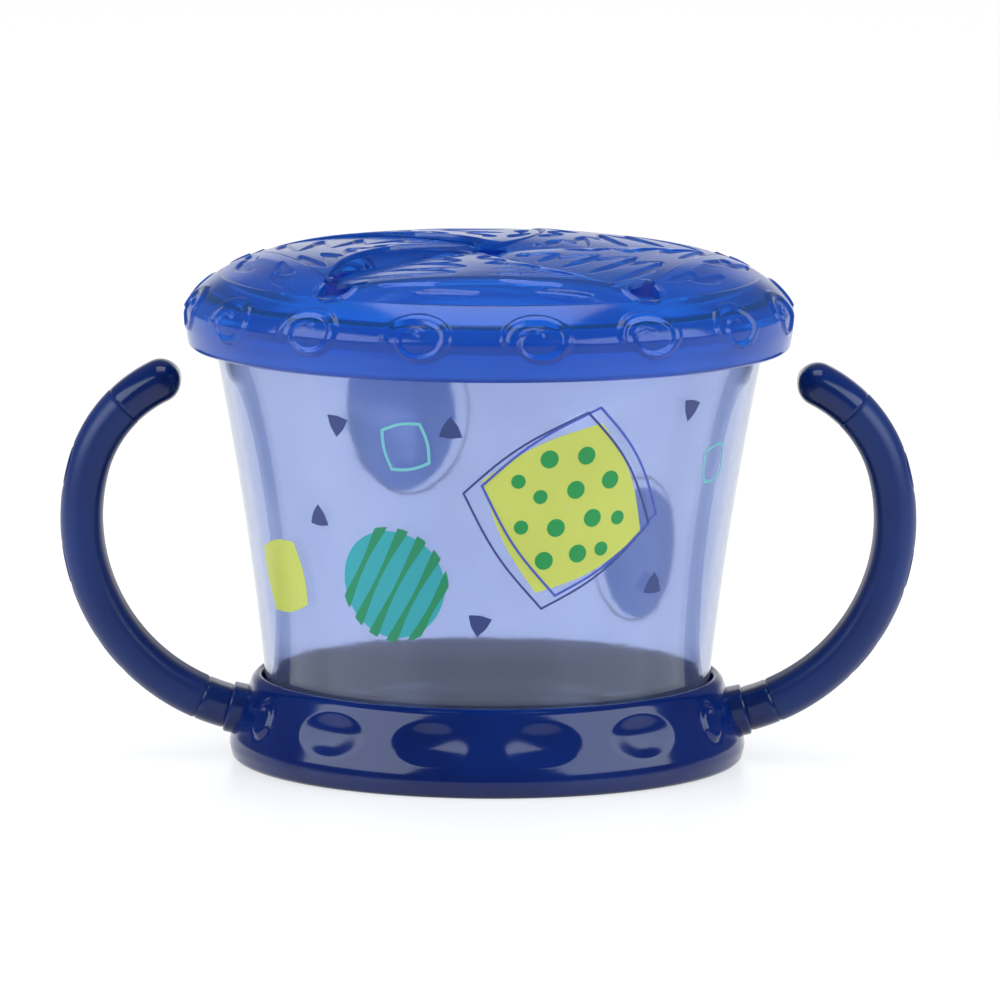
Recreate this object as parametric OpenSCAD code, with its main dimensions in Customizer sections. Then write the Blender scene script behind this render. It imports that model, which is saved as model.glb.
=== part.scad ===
/* [Base] */
// Height of the base dish
base_h = 14; // [13:0.5:15]
// Widest diameter of the base, just above the table
base_d = 85.4; // [84.6:0.2:88]
// Diameter of the upper edge of the base
base_lip_d = 77.8; // [77:0.2:79]
// Thickness of the dish floor
base_floor_t = 2; // [1.6:0.1:2.4]
// Depth of the recess inside the foot ring
foot_recess = 1.4; // [1:0.1:1.6]
// Width of an oval dimple on the flank
dimple_w = 13; // [10:0.5:14]
// Height of an oval dimple on the flank
dimple_h = 6.5; // [5:0.5:7]
// Depth of an oval dimple
dimple_depth = 0.9; // [0.5:0.1:1]
// Diameter of a round boss beside a handle
boss_d = 5.3; // [4:0.1:6]

/* [Cup] */
// Radius of the cup at its foot
cup_foot_r = 35.8; // [35.2:0.1:36]
// Radius of the cup's wall under its rim bead
cup_top_r = 46.4; // [45.8:0.1:46.5]
// Height of the cup's rim above the table
cup_top_z = 76.2; // [75.8:0.1:76.4]
// How far the wall curves in from a straight cone, halfway up
cup_sag = 1.1; // [0:0.1:1.5]
// Thickness of the cup's wall
cup_wall = 1.8; // [1.4:0.1:2]
// Thickness of the cup's floor
cup_floor_t = 2; // [1.4:0.1:2.6]

/* [Lid] */
// Diameter of the lid's skirt
lid_d = 100; // [99.8:0.1:101]
// Height of the lid's lower edge above the table
lid_bottom_z = 68.4; // [67:0.1:70]
// Height at which the skirt turns into the domed top
crown_z = 74.5; // [74.3:0.1:75]
// Rise of the domed top above that height
crown_h = 10.6; // [10:0.1:11]
// Thickness of the domed top
lid_wall = 1.8; // [1.6:0.1:2]
// Swirls round the skirt
swirl_count = 16; // [8:1:16]
// Outer diameter of a swirl
swirl_d = 9; // [6:0.2:9.2]
// How far a swirl stands out from the skirt
swirl_relief = 0.4; // [0.2:0.1:0.5]

/* [Petals] */
// Distance of the outer end of a slit from the middle of the lid
slit_end_r = 42; // [41.5:0.1:42.5]
// Width of a slit
slit_w = 1; // [0.9:0.1:1.2]
// Thickness of a petal
petal_t = 1; // [0.9:0.1:1.1]
// Rise of a petal's raised edge above the dome
petal_rise = 0.6; // [0.4:0.1:0.8]
// Drop of the front petal's low edge below the dome
petal_drop = 2.7; // [2:0.1:2.8]
// Drop of the petal tips at the middle of the lid
tip_drop = 1.4; // [1:0.1:1.6]
// Diameter of the relief hole at the outer end of a slit
relief_d = 5.4; // [5.2:0.1:5.8]

/* [Handles] */
// Thickness of a handle, seen from the front
handle_w = 7; // [6:0.1:7.4]
// Depth of a handle, front to back
handle_depth = 11; // [9:0.5:12]
// Radius of the handle's lower bend, at the middle of its thickness
lower_bend_r = 32.6; // [32:0.1:33]
// Radius of the handle's upper bend
upper_bend_r = 22.4; // [22:0.1:23]
// Thickness of the soft sleeve over a handle
sleeve_t = 1.2; // [0.8:0.1:1.6]

/* [Hidden] */

turn_fn = 180;
bend_fn = 144;
round_fn = 48;
fine_fn = 32;
reach = 30;
over = 1;

navy = [0.02, 0.1, 0.36];
soft_navy = [0.03, 0.12, 0.4];
cup_blue = [0.6, 0.68, 0.92];
lid_blue = [0.16, 0.34, 0.78];

// Heights and radii of the base
base_r = base_d / 2;
base_lip_r = base_lip_d / 2;
lip_round = 0.8;
seat_z = foot_recess + base_floor_t;
seat_gap = 0.3;
seat_flare = 0.4;
seat_flare_h = 0.6;
foot_ring_w = 3.4;
foot_r = base_r - 1.1;
foot_round_z = 1.2;
widest_z = 2.5;
flank_low_z = 4;
flank_high_z = 12;
flank_low_r = base_r - 0.2;
flank_top_r = base_lip_r + 0.5;
flank_tilt = atan((flank_low_r - flank_top_r) / (flank_high_z - flank_low_z));
mark_z = 8.6;
mark_r = flank_low_r - (mark_z - flank_low_z) * tan(flank_tilt);
mark_count = 14;
mark_step = 360 / mark_count;
dimple_steps = [0.5, 1.5, 5.5, 6.5];
boss_steps = [2.5, 4.5];
boss_root = 1.5;
boss_relief = 0.5;

// Rim bead of the cup, and the lid's inside that fits over it
bead_out = 0.8;
bead_h = 1.8;
bead_edge = 0.3;
bead_r = cup_top_r + bead_out;
bead_low_z = cup_top_z - bead_h;
skirt_wall = 1.7;
skirt_lower_in = 0.5;
skirt_bevel = 0.3;
skirt_flare_z = lid_bottom_z + 2.2;
skirt_flare_in = 0.2;
skirt_flare_h = 1.4;
lid_r = lid_d / 2;
plug_gap = 0.4;
plug_t = 1.2;
plug_depth = 3.7;
plug_r = cup_top_r - cup_wall - plug_gap;
land_r = bead_r + 0.2;
land_drop = 1.2;

// Shape of the domed top
crown_power = 5;
crown_round = 0.74;
crown_steps = 10;
crown_in_r = 30;
swirl_z = 75;
swirl_stroke = 1;
swirl_start = 9.1;
swirl_bed = 0.8;
swirl_rows = 5;
swirl_low_z = swirl_z - swirl_d / 2 - 0.3;
hook_d = 0.6 * swirl_d;
hook_shift = 0.5;
relief_low_z = 78.2;

// The five petals: the slits are quarter-circle arcs from the middle to the corners of a pentagon
petal_count = 5;
petal_turn = 360 / petal_count;
slit_half_turn = 45;
slit_r = slit_end_r / (2 * sin(slit_half_turn));
low_slit_az = 234;
high_slit_az = low_slit_az + petal_turn;
hinge_y = -slit_end_r * cos(petal_turn / 2);
hinge_gap = 0.6;
hinge_t = 0.6;
hinge_taper = 4;
slot_x = 19.5;
slot_len = 6;
slot_lid = 0.6;
slot_petal = 1;
slit_tip_turn = 6;
petal_rows = 20;
petal_cols = 12;
rise_power = 1.5;
drop_power = 2;
drop_start_power = 5;
drop_end_power = 4;
tip_power = 5;

// Shares of the rise and drops that each petal has, anticlockwise from the front, and how far it leans up
rise_share = [-0.3, 0.5, 1, 0.8, 1.2];
drop_share = [1, 0.8, 0.4, 0.1, 0.1];
tip_share = [1, 1.2, 1.2, 0.3, 0.9];
petal_lean = [0, -0.3, 0, 0.5, 0];

// Path of a handle: two arcs in the plane y = 0, by heading angle
root_x = 41.66;
root_z = 7.66;
root_heading = 12.6;
bend_heading = 105.5;
tip_heading = 154;
grip_low_heading = 23;
grip_high_heading = 135.6;
lower_c = [root_x - lower_bend_r * sin(root_heading), root_z + lower_bend_r * cos(root_heading)];
bend_p = lower_c + lower_bend_r * [sin(bend_heading), -cos(bend_heading)];
upper_c = bend_p + upper_bend_r * [-sin(bend_heading), cos(bend_heading)];
tip_p = upper_c + upper_bend_r * [sin(tip_heading), -cos(tip_heading)];
root_run = 6;
collar_in = 1;
collar_drop = 0.2;
collar_t = 1.6;
collar_out = 0.6;
peg_r = 2.4;
peg_len = 6;
peg_in_x = 38;
joint_step = 0.05;
joint_turn = 0.6;
grip_end_turn = 1;

// Outer radius of the cup at height z
function cup_r(z) =
    let (t = (z - seat_z) / (bead_low_z - seat_z))
    cup_foot_r + (cup_top_r - cup_foot_r) * t - 4 * cup_sag * t * (1 - t);

// Height of the domed top at distance r from the axis
function crown(r) = crown_z + crown_h * pow(1 - pow(r / lid_r, crown_power), crown_round);

// Radius that holds step i of the domed top, with closer steps towards the shoulder
function crown_step_r(i) = crown_in_r + (lid_r - crown_in_r) * sin(90 * i / crown_steps);

// Outline of the shoulder and dome, from the top of the skirt inwards
shoulder = [for (i = [crown_steps:-1:0]) let (r = crown_step_r(i)) [r, crown(r)]];

// Point i of that outline, moved out of the surface by d
function shoulder_out(i, d) =
    let (v = shoulder[i + 1] - shoulder[max(0, i - 1)])
    shoulder[i] + d * [v[1], -v[0]] / norm(v);

// Centre of the slit whose outer end lies at azimuth az
function slit_centre(az) =
    let (a = az - slit_half_turn + 90)
    slit_r * [cos(a), sin(a)];

// Height of petal k above the dome, at share s of the slit and share u from its low edge to its raised one
function petal_lift(k, s, u) =
    petal_rise * rise_share[k] * (1 - pow(s, 2)) * pow(u, rise_power)
    - petal_drop * drop_share[k] * pow(1 - u, drop_power)
        * (1 - pow(1 - s, drop_end_power)) * (1 - pow(s, drop_start_power))
    - tip_drop * tip_share[k] * pow(1 - s, tip_power);

// Angle on the circle c, r where it crosses the height y, on its left side
function left_crossing(c, r, y) = 180 - asin((y - c[1]) / r);

// Point (i, j) of a petal in plan: row i from hinge to tip, column j from its low edge to its raised one
function petal_xy(i, j) =
    let (
        c_low = slit_centre(low_slit_az),
        c_high = slit_centre(high_slit_az),
        r_low = slit_r - slit_w / 2,
        r_high = slit_r + slit_w / 2,
        y0 = hinge_y + hinge_gap,
        t = i / petal_rows,
        a_low = left_crossing(c_low, r_low, y0) * (1 - t)
            + (low_slit_az - slit_half_turn - 90 + slit_tip_turn) * t,
        a_high = left_crossing(c_high, r_high, y0) * (1 - t)
            + (high_slit_az - slit_half_turn - 90 + slit_tip_turn) * t,
        p_low = c_low + r_low * [cos(a_low), sin(a_low)],
        p_high = c_high + r_high * [cos(a_high), sin(a_high)],
        u = j / petal_cols
    )
    p_low * (1 - u) + p_high * u;

// Height of the upper face of petal k at point (i, j)
function petal_top(k, i, j) =
    let (
        p = petal_xy(i, j),
        s = min(1, norm(petal_xy(i, 0)) / slit_end_r)
    )
    crown(norm(p)) + petal_lift(k, s, j / petal_cols) + petal_lean[k] * (1 - p[1] / hinge_y);

// Thickness of the petal at point (i, j), thinner along its hinge
function petal_thick(i, j) =
    hinge_t + (petal_t - hinge_t) * min(1, (petal_xy(i, j)[1] - hinge_y - hinge_gap) / hinge_taper);

// Solid of one turn about the axis, from an outline of [radius, height] points
module turned(points) {
    rotate_extrude($fn = turn_fn) polygon(points);
}

// Outline of a handle across its path, in by margin on every side
module handle_section(margin) {
    r = handle_w / 2 - margin;
    side = handle_depth / 2 - handle_w / 2;
    for (y = [-side, side]) translate([0, y]) circle(r, $fn = fine_fn);
    square([2 * r, 2 * side], center = true);
}

// Part of a bend of the handle, between two headings
module bend(centre, radius, from, to, margin) {
    translate([centre[0], 0, centre[1]])
        rotate([90, 0, 0])
            rotate([0, 0, from - 90])
                rotate_extrude(angle = to - from, $fn = bend_fn)
                    translate([radius, 0]) handle_section(margin);
}

// Oval cutter for a dimple: the outside of a ring, so that it is wider than it is high
module dimple_cutter() {
    tube_r = pow(dimple_h / 2, 2) / (2 * dimple_depth);
    flat_r = 1 / (2 * dimple_depth / pow(dimple_w / 2, 2) - 1 / mark_r);
    translate([flat_r - dimple_depth, 0, 0])
        rotate_extrude($fn = bend_fn) translate([flat_r - tube_r, 0]) circle(tube_r, $fn = round_fn);
}

// Places a child on the flank of the base at azimuth az, with +X pointing out of the flank
module on_flank(az) {
    rotate([0, 0, az]) translate([mark_r, 0, mark_z]) rotate([0, -flank_tilt, 0]) children();
}

// The base without its cavity
module base_body() {
    turned([
        [0, foot_recess],
        [foot_r - foot_ring_w, foot_recess],
        [foot_r - foot_ring_w, 0],
        [foot_r, 0],
        [flank_low_r, foot_round_z],
        [base_r, widest_z],
        [flank_low_r, flank_low_z],
        [flank_top_r, flank_high_z],
        [base_lip_r, base_h - lip_round],
        [base_lip_r - lip_round, base_h],
        [0, base_h]
    ]);
}

module base() {
    color(navy) difference() {
        union() {
            base_body();
            for (side = [0, 180]) for (k = boss_steps)
                on_flank(side + k * mark_step - 90)
                    rotate([0, 90, 0])
                        translate([0, 0, -boss_root])
                            cylinder(h = boss_root + boss_relief, d = boss_d, $fn = round_fn);
        }
        turned([
            [0, seat_z],
            [cup_foot_r + seat_gap, seat_z],
            [cup_r(base_h) + seat_gap, base_h - seat_flare_h],
            [cup_r(base_h) + seat_gap + seat_flare, base_h + over],
            [0, base_h + over]
        ]);
        for (side = [0, 180]) for (k = dimple_steps)
            on_flank(side + k * mark_step - 90) dimple_cutter();
        for (side = [0, 180]) rotate([0, 0, side]) peg();
    }
}

// Peg that holds a handle in the base
module peg() {
    translate([peg_in_x, 0, root_z]) rotate([0, 90, 0]) cylinder(h = peg_len, r = peg_r, $fn = round_fn);
}

// One handle arm, on the +X side
module handle() {
    color(navy) {
        difference() {
            union() {
                bend(lower_c, lower_bend_r, root_heading - root_run, grip_low_heading, 0);
                translate([root_x - collar_in, 0, root_z - collar_drop])
                    rotate([0, 90 - root_heading, 0])
                        linear_extrude(height = collar_in + collar_t) handle_section(-collar_out);
            }
            base_body();
        }
        peg();
        bend(lower_c, lower_bend_r, grip_low_heading - joint_turn, bend_heading, sleeve_t);
        bend(upper_c, upper_bend_r, bend_heading - joint_turn, grip_high_heading + joint_turn,
            sleeve_t + joint_step);
        bend(upper_c, upper_bend_r, grip_high_heading, tip_heading, joint_step);
        translate([tip_p[0], 0, tip_p[1]]) rotate([90, 0, 0]) {
            side = handle_depth / 2 - handle_w / 2;
            cylinder(h = 2 * side, d = handle_w, center = true, $fn = round_fn);
            for (z = [-side, side]) translate([0, 0, z]) sphere(d = handle_w, $fn = round_fn);
        }
    }
}

// One soft sleeve, on the +X side
module grip() {
    color(soft_navy) difference() {
        union() {
            bend(lower_c, lower_bend_r, grip_low_heading, bend_heading, 0);
            bend(upper_c, upper_bend_r, bend_heading - joint_turn, grip_high_heading, joint_step);
        }
        bend(lower_c, lower_bend_r, grip_low_heading - grip_end_turn, bend_heading, sleeve_t);
        bend(upper_c, upper_bend_r, bend_heading - joint_turn, grip_high_heading + grip_end_turn,
            sleeve_t + joint_step);
    }
}

module cup() {
    wall_steps = 8;
    inner_z = seat_z + cup_floor_t;
    color(cup_blue, 0.6) turned(concat(
        [[0, seat_z]],
        [for (i = [0:wall_steps]) let (z = seat_z + (bead_low_z - seat_z) * i / wall_steps) [cup_r(z), z]],
        [
            [bead_r, bead_low_z + bead_edge],
            [bead_r, cup_top_z - bead_edge],
            [bead_r - bead_edge, cup_top_z],
            [cup_top_r - cup_wall, cup_top_z]
        ],
        [for (i = [wall_steps:-1:0])
            let (z = inner_z + (bead_low_z - inner_z) * i / wall_steps) [cup_r(z) - cup_wall, z]],
        [[0, inner_z]]
    ));
}

// Lid without its mouth: skirt, shoulder, dome and plug ring
module lid_shell() {
    turned(concat(
        [
            [lid_r - skirt_lower_in - skirt_wall + skirt_bevel, lid_bottom_z],
            [lid_r - skirt_lower_in, lid_bottom_z],
            [lid_r - skirt_flare_in, skirt_flare_z],
            [lid_r, skirt_flare_z + skirt_flare_h]
        ],
        shoulder,
        [
            [crown_in_r, crown(crown_in_r) - lid_wall],
            [(crown_in_r + plug_r) / 2, crown((crown_in_r + plug_r) / 2) - lid_wall],
            [plug_r - plug_t, crown(plug_r - plug_t) - lid_wall],
            [plug_r - plug_t, cup_top_z - plug_depth],
            [plug_r, cup_top_z - plug_depth],
            [plug_r, cup_top_z],
            [land_r, cup_top_z],
            [lid_r - skirt_wall, cup_top_z - land_drop],
            [lid_r - skirt_wall, skirt_flare_z]
        ]
    ));
}

// Layer that follows the skirt and shoulder, from inside the wall to as far out as the swirls stand
module swirl_layer() {
    turned(concat(
        [[lid_r - swirl_bed, swirl_low_z], [lid_r + swirl_relief, swirl_low_z]],
        [for (i = [0:swirl_rows]) shoulder_out(i, swirl_relief)],
        [for (i = [swirl_rows:-1:0]) shoulder_out(i, -swirl_bed)]
    ));
}

// Ring about the X axis, cut from the layer to raise a line on the skirt
module swirl_ring(d) {
    rotate([0, 90, 0]) difference() {
        cylinder(h = reach, d = d, $fn = round_fn);
        cylinder(h = 3 * reach, d = d - 2 * swirl_stroke, center = true, $fn = round_fn);
    }
}

// The swirls round the skirt: each is a ring with a smaller hook low inside it
module swirls() {
    intersection() {
        swirl_layer();
        for (k = [0:swirl_count - 1])
            rotate([0, 0, 270 + swirl_start + k * 360 / swirl_count]) translate([crown_in_r, 0, swirl_z]) {
                swirl_ring(swirl_d);
                translate([0, hook_shift, -hook_shift]) difference() {
                    swirl_ring(hook_d);
                    translate([0, -hook_d, 0]) cube([reach, hook_d, hook_d]);
                }
            }
    }
}

module lid() {
    color(lid_blue, 0.8) difference() {
        union() {
            lid_shell();
            swirls();
        }
        translate([0, 0, crown_z]) rotate([0, 0, low_slit_az])
            cylinder(h = reach, r = slit_end_r, $fn = petal_count);
        for (k = [0:petal_count - 1]) rotate([0, 0, k * petal_turn]) {
            relief_hole();
            for (side = [-1, 1])
                translate([side * (slot_x + slot_len / 2), hinge_y, crown_z + reach / 2])
                    cube([slot_len, 2 * slot_lid, reach], center = true);
        }
    }
}

// Relief hole at the low slit of the front petal
module relief_hole() {
    translate([slit_end_r * cos(low_slit_az), slit_end_r * sin(low_slit_az), relief_low_z])
        cylinder(h = reach, d = relief_d, $fn = round_fn);
}

// Petal number k, counted anticlockwise from the front, in the place of the front one
module petal(k) {
    n = petal_cols + 1;
    rows = [for (i = [0:petal_rows]) i];
    cols = [for (j = [0:petal_cols]) j];
    top = [for (i = rows) for (j = cols) let (p = petal_xy(i, j)) [p[0], p[1], petal_top(k, i, j)]];
    low = [for (i = rows) for (j = cols)
        let (p = petal_xy(i, j)) [p[0], p[1], petal_top(k, i, j) - petal_thick(i, j)]];
    m = len(top);
    function at(i, j) = i * n + j;
    top_faces = [for (i = [0:petal_rows - 1]) for (j = [0:petal_cols - 1]) for (f = [
        [at(i, j), at(i + 1, j), at(i + 1, j + 1)],
        [at(i, j), at(i + 1, j + 1), at(i, j + 1)]]) f];
    low_faces = [for (f = top_faces) [m + f[2], m + f[1], m + f[0]]];
    rim = concat(
        [for (j = [0:petal_cols - 1]) at(0, j)],
        [for (i = [0:petal_rows - 1]) at(i, petal_cols)],
        [for (j = [petal_cols:-1:1]) at(petal_rows, j)],
        [for (i = [petal_rows:-1:1]) at(i, 0)]
    );
    side_faces = [for (e = [0:len(rim) - 1]) let (a = rim[e], b = rim[(e + 1) % len(rim)]) for (f = [
        [a, b, m + b],
        [a, m + b, m + a]]) f];
    color(lid_blue, 0.8) difference() {
        polyhedron(points = concat(top, low), faces = concat(top_faces, low_faces, side_faces));
        for (turn = [0, petal_turn]) rotate([0, 0, turn]) relief_hole();
        for (side = [-1, 1])
            translate([side * (slot_x + slot_len / 2), hinge_y, crown_z + reach / 2])
                cube([slot_len, 2 * slot_petal, reach], center = true);
    }
}

// Petal number k in its own place
module petal_at(k) {
    rotate([0, 0, k * petal_turn]) petal(k);
}

base();
mirror([1, 0, 0]) handle();  // handle_left
handle();  // handle_right
mirror([1, 0, 0]) grip();  // grip_left
grip();  // grip_right
cup();
lid();
petal_at(0);  // flap_front
petal_at(1);  // flap_right
petal_at(2);  // flap_back_right
petal_at(3);  // flap_back_left
petal_at(4);  // flap_left
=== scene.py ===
import math

import bmesh
import bpy
import numpy as np
from mathutils import Matrix, Vector


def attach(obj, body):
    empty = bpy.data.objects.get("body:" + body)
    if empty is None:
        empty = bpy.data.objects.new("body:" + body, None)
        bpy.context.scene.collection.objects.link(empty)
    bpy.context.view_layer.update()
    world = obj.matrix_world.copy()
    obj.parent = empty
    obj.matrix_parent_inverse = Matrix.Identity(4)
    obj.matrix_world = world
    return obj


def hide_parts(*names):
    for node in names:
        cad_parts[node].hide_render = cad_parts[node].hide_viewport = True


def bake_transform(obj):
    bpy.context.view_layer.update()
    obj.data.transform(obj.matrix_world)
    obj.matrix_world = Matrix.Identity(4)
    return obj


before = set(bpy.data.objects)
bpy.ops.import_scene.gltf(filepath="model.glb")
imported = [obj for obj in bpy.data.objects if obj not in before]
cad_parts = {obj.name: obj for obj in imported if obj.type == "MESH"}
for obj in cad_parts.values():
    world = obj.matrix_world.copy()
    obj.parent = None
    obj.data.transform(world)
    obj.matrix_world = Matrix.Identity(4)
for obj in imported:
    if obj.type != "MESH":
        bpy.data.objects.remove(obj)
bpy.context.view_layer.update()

MM = 0.001
TAU = 2 * math.pi

# Base and cup, in millimetres, as in the solids
BASE_H = 14.0
BASE_R = 42.7
LIP_R = 38.9
SEAT_Z = 3.4
FOOT_RECESS = 1.4
FOOT_BEVEL = 1.1
FOOT_RING_W = 3.4
FLANK_LOW = (BASE_R - 0.25, 3.9)
FLANK_TOP = (LIP_R + 0.5, 12.0)
BASE_ROUND = 0.5
SEAT_GAP = 0.3
CUP_FOOT_R = 35.8
CUP_TOP_R = 46.4
CUP_TOP_Z = 76.2
CUP_SAG = 1.1
CUP_WALL = 1.8
CUP_FLOOR = 2.0
BEAD_H = 1.8
BEAD_OUT = 0.8
BEAD_GAP = 0.2
CUP_EDGE_ROUND = 0.35
CUP_FOOT_ROUND = 1.2
CUP_FLOOR_ROUND = 2.5

# Print on the cup: film thickness and sizes in millimetres, places as (azimuth in degrees, height)
PRINT_T = 0.03
SQUARE_SIZE = 15.5
SQUARE_LINE_SIZE = 17.4
SMALL_SQUARE_SIZE = 5.2
DISC_SIZE = 9.5
TRIANGLE_SIZE = 2.4
DOT_SIZE = 1.25
BIG_DOT_SIZE = 1.6
OVAL_SIZE = 11.0
OVAL_STRETCH = 1.25
STRIPE_W = 1.7
STRIPE_LEAN = 1.05
STRIPES_FROM = (-8.2, -4.9, -1.6, 1.7, 5.0)
SQUARE_AT = (288, 47)
DISC_AT = (247, 34)

# Lid and petals
LID_R = 50.0
LID_BOTTOM = 68.4
CROWN_Z = 74.5
CROWN_H = 10.6
CROWN_FLATNESS = 5
CROWN_ROUNDNESS = 0.74
SHOULDER_R = 44.5
LID_WALL = 1.8
SKIRT_WALL = 1.7
MOUTH_ROUND = 0.3
SLIT_END_R = 42.0
SLIT_W = 1.0
SLIT_TURN = math.radians(45)
PETALS = 5
TURN = TAU / PETALS
LOW_AZ = math.radians(234)
HINGE_Y = -SLIT_END_R * math.cos(TURN / 2)
SLIT_R = SLIT_END_R / (2 * math.sin(SLIT_TURN))
PETAL_RISE = 0.6
PETAL_DROP = 2.7
TIP_DROP = 1.4
RISE_SHARE = (-0.3, 0.5, 1.0, 0.8, 1.2)
DROP_SHARE = (1.0, 0.8, 0.4, 0.1, 0.1)
TIP_SHARE = (1.0, 1.2, 1.2, 0.3, 0.9)
PETAL_LEAN = (0.0, -0.3, 0.0, 0.5, 0.0)
PETAL_T = 1.0
PETAL_SPAN = 30
PETAL_EDGE_W = 0.35
PETAL_EDGE_DROP = 0.15
HINGE_T = 0.6
HINGE_TAPER = 4.0
ROOT_FADE = 3.0
RELIEF_FADE = 1.5
HINGE_GAP = 0.6
SLOT_X = 19.5
SLOT_LID = 0.6
SLOT_PETAL = 1.0
RELIEF_R = 2.7
SLIT_TIP = math.radians(6)
PLUG_R = 44.2
PLUG_IN_R = 43.0
PLUG_LOW_Z = 72.5

# Handles: two arcs in the plane y = 0
HANDLE_W = 7.0
HANDLE_DEPTH = 11.0
ROOT = (41.66, 7.66)
ROOT_HEADING = math.radians(12.6)
BEND_HEADING = math.radians(105.5)
TIP_HEADING = math.radians(154)
LOWER_R = 32.6
UPPER_R = 22.4
GRIP_LOW = math.radians(23)
GRIP_HIGH = math.radians(135.6)
SLEEVE = 1.25
MEAN_BEND_R = 30
COLLAR_OUT = 0.5
GRIP_END_SUNK = 0.14

# Rings of the handle near a step, as (heading past the step in radians, how far the surface is sunk)
COLLAR_BACK = 0.05
COLLAR_AHEAD = 0.028
COLLAR_EDGE = ((0.036, -0.35), (0.04, 0.12), (0.05, 0.0))
PAST_COLLAR = 0.06
BESIDE_SLEEVE = 0.008
SLEEVE_STEP = ((-0.003, 0.12), (0.0, 0.16), (0.001, SLEEVE))
UNDER_SLEEVE = 0.01

# Swirls on the sleeves: distances from the sleeve's lower end
GRIP_SWIRLS = (14.0, 28.0, 42.0)

# Stage, in metres and watts
FLOOR = 6.0
FLOOR_GLOW = 0.56
FLOOR_GREY = 0.5
FLOOR_ROUGH = 0.25
FLOOR_MIRROR = 0.3
WORLD_LIGHT = 0.45
STUDIO_DARK = 0.15
WALL_LIGHT = 0.85
WALL_TOWARDS = (0, 0.95, -0.3)
WALL_EDGE = (0.79, 0.9)
BOX_COLOUR = (0.84, 0.93, 1.0)
BOX_AWAY = 0.71
BOX_PLACE = (-0.36, 0.46)
BOX_SIZE = (0.9, 0.55)
BOX_WATTS = 6.0
TOP_PLACE = (0, 0.1, 1.1)
TOP_SIZE = (0.7, 0.7)
TOP_WATTS = 4
LAMP_AIM = (0, 0, 0.04)

# Marks on the base and relief of the lid, the petals and the sleeves
MARKS_A_SIDE = 7
MARK_STEP = TAU / (2 * MARKS_A_SIDE)
DIMPLE_PLACES = (0.5, 1.5, 5.5, 6.5)
BOSS_PLACES = (2.5, 4.5)
MARKS_FROM_Z = 3.2
MARK_Z = 8.6
MARK_R = 41.2
DIMPLE_W = 14.4
DIMPLE_H = 7.4
DIMPLE_DEPTH = 0.95
DIMPLE_SOFTNESS = 1.5
BOSS_R = 2.65
BOSS_RISE = 0.5
BOSS_DISH = 0.2
BOSS_GROOVE = 0.2
HOLLOW_R = 40.8
HOLLOW_HALF_WIDTH = 18.0
HOLLOW_HALF_DEPTH = 4.2
HOLLOW_SUNK = 0.5
HOLE_RIM = 0.3
RIM_LINES = (
    ((-18, -35.6), (-8, -37.4), (-13, -38.6), (-1, -40.2)),
    ((1, -36.0), (12, -37.2), (6, -38.8), (17, -39.0)),
)
SWIRLS = 16
SWIRL_START = math.radians(270 + 9.1)
SWIRL_Z = 75.2
SWIRL_RELIEF = 0.4
SWIRL_EDGE = 0.45
SWIRL_HALVES = (0.75, 1.0, 0.95, 0.5, 0.4, 0.6)
ZIGZAG_DEPTH = 0.38
ZIGZAG_HALF = 1.25
LEAF_BOW = 0.07
LEAF_TAPER = 0.8
LEAF_EDGE = 0.35
RIM_LEAF_SHARE = 0.8
GRIP_SWIRL_DEPTH = 0.3
GRIP_SWIRL_HALF = 0.55
GRIP_SWIRL_SCALE = 0.85

# Fineness of the meshes
BASE_SEGMENTS = 720
BASE_STEP = 0.3
CUP_SEGMENTS = 256
CUP_ROWS = 24
FILM_RINGS = 10
LID_SEGMENTS = 1080
DOME_ROWS = 36
SHOULDER_STEP = 0.26
PETAL_ROWS = 160
PETAL_COLS = 130
GRIP_POINTS = 88
HOLE_POINTS = 48


# Camera

CAM_POS = np.array([1.9, -1383.0, 239.0])
CAM_AIM = np.array([1.9, 0.0, 42.7])
FOCAL_PX = 8465.0
IMAGE_PX = 1000.0
CAM_ROLL = math.radians(0.33)
SENSOR_MM = 36.0


def make_camera():
    ahead = CAM_AIM - CAM_POS
    ahead /= np.linalg.norm(ahead)
    right = np.cross(ahead, [0, 0, 1])
    right /= np.linalg.norm(right)
    up = np.cross(right, ahead)
    c, s = math.cos(CAM_ROLL), math.sin(CAM_ROLL)
    right, up = c * right + s * up, c * up - s * right
    data = bpy.data.cameras.new("camera")
    data.sensor_width = SENSOR_MM
    data.lens = FOCAL_PX / IMAGE_PX * SENSOR_MM
    data.clip_start = 0.05
    data.clip_end = 50.0
    cam = bpy.data.objects.new("camera", data)
    rows = np.column_stack([right, up, -ahead])
    cam.matrix_world = Matrix.Translation(Vector(CAM_POS * MM)) @ Matrix(rows.tolist()).to_4x4()
    bpy.context.scene.collection.objects.link(cam)
    bpy.context.scene.camera = cam
    bpy.context.scene.view_settings.view_transform = "Standard"


# Mesh helpers


def new_mesh(name, verts, faces, smooth=True):
    mesh = bpy.data.meshes.new(name)
    mesh.from_pydata((np.asarray(verts, float) * MM).tolist(), [], faces)
    mesh.validate()
    mesh.update()
    if smooth:
        mesh.polygons.foreach_set("use_smooth", [True] * len(mesh.polygons))
    obj = bpy.data.objects.new(name, mesh)
    bpy.context.scene.collection.objects.link(obj)
    return obj


def grid_faces(rows, cols, wrap_rows=False, wrap_cols=False, start=0, flip=False):
    faces = []
    for i in range(rows if wrap_rows else rows - 1):
        for j in range(cols if wrap_cols else cols - 1):
            a = start + i * cols + j
            b = start + i * cols + (j + 1) % cols
            c = start + (i + 1) % rows * cols + (j + 1) % cols
            d = start + (i + 1) % rows * cols + j
            faces.append((a, d, c, b) if flip else (a, b, c, d))
    return faces


def smooth_step(x):
    x = np.clip(x, 0, 1)
    return x * x * (3 - 2 * x)


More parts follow.
